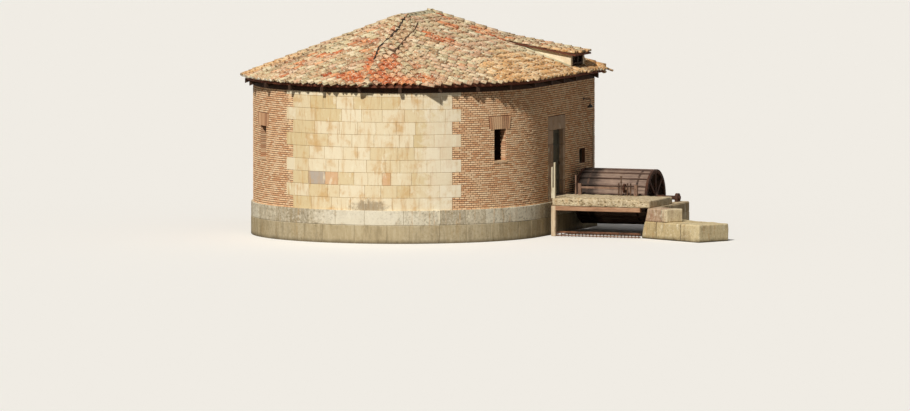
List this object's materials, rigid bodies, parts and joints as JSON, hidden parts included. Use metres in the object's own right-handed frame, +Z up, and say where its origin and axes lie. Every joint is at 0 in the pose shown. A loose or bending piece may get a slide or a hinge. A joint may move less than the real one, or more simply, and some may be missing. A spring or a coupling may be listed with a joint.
{
  "type": "watermill house",
  "caption": "River mill house with a round stone and brick nose, hipped clay tile roof, low dormer, side door, headrace deck with trash rack and a boarded horizontal-axle water wheel.",
  "frame": {"origin": "centre of the round nose at water level, on the resting plane", "axes": "+X out of the flank with the door and the wheel, the nose points along -Y, +Z up"},
  "size_m": [14.3405, 9.46, 6.2399],
  "materials": {
    "rubble_stone": "rough squared rubble with lime mortar",
    "plinth_stone": "large weathered grey courses with a thin bleached top edge",
    "floor_stone": "worn flags",
    "dressed_stone": "cream and ochre dressed blocks, fine pale joints",
    "brick": "thin pink-orange bricks in pale mortar",
    "door_stone": "grey-buff dressed stone",
    "door_wood": "weathered grey-green boards",
    "door_iron": "forged, rusty",
    "roof_timber": "old dark timber",
    "eave_wood": "reddish-brown boards",
    "roof_tile": "old curved clay tiles, buff and orange with dry moss",
    "dormer_tile": "old curved clay tiles, golden brown with dry moss",
    "plaster": "stained cream lime plaster",
    "light_wood": "dark timber frame",
    "hatch_wood": "dark timber frame",
    "lamp_metal": "black enamel, dull",
    "deck_stone": "rough pebbly slab, bleached edge",
    "deck_timber": "bleached pinkish timber",
    "post_wood": "sun-bleached, split along the grain",
    "rack_iron": "rusty flat bars",
    "wall_stone": "dressed blocks, stained near the water",
    "bench_iron": "old red-brown paint over rust",
    "gear_iron": "rusty, dark in the teeth",
    "bearing_iron": "dark rusty iron",
    "wheel_iron": "dark rusty iron",
    "wheel_board": "wet brown boards",
    "wheel_float": "wet brown boards, worn edges"
  },
  "bodies": {
    "house": {"foundation_core": "rubble_stone", "plinth_nose_left": "plinth_stone", "plinth_nose_front": "plinth_stone", "plinth_nose_right": "plinth_stone", "plinth_flank_right": "plinth_stone", "plinth_flank_left": "plinth_stone", "plinth_rear": "plinth_stone", "floor": "floor_stone", "wall_brick_left": "brick", "wall_stone_front": "dressed_stone", "wall_brick_right": "brick", "wall_slit_right": "brick", "wall_brick_end": "brick", "wall_door_near": "brick", "wall_over_door": "brick", "wall_door_far": "brick", "wall_flank_left": "brick", "wall_rear": "brick", "door_sill": "door_stone", "door_jambs": "door_stone", "door_lintel": "door_stone", "door_pintles": "door_iron", "wall_plates": "roof_timber", "eave_boards": "eave_wood", "rafters": "roof_timber", "roof_nose": "roof_tile", "roof_right": "roof_tile", "roof_left": "roof_tile", "roof_rear": "roof_tile", "dormer_roof": "dormer_tile", "dormer_cheeks": "plaster", "dormer_frame": "light_wood", "hatch_frame": "hatch_wood", "lamp": "lamp_metal", "deck_slab": "deck_stone", "deck_frame": "deck_timber", "slot_post": "post_wood", "trash_rack": "rack_iron", "side_wall": "wall_stone", "wing_wall": "wall_stone", "wing_seat": "wall_stone", "sluice_bench": "bench_iron", "sluice_pinion": "gear_iron", "sluice_racks": "gear_iron", "bearings": "bearing_iron"},
    "door": {"door_leaf": "door_wood", "door_straps": "door_iron"},
    "wheel": {"wheel_axle": "wheel_iron", "wheel_ends": "wheel_iron", "wheel_boards": "wheel_board", "wheel_floats": "wheel_float"}
  },
  "joints": [
    {"name": "door_swing", "type": "hinge", "parent": "house", "child": "door", "pos_m": [4.032, 1.218, 1.08], "axis": [0, 0, 1], "range_deg": [0, 88]},
    {"name": "wheel_spin", "type": "hinge", "parent": "house", "child": "wheel", "pos_m": [5.5, 3.2, 0.98], "axis": [1, 0, 0], "continuous": true}
  ]
}
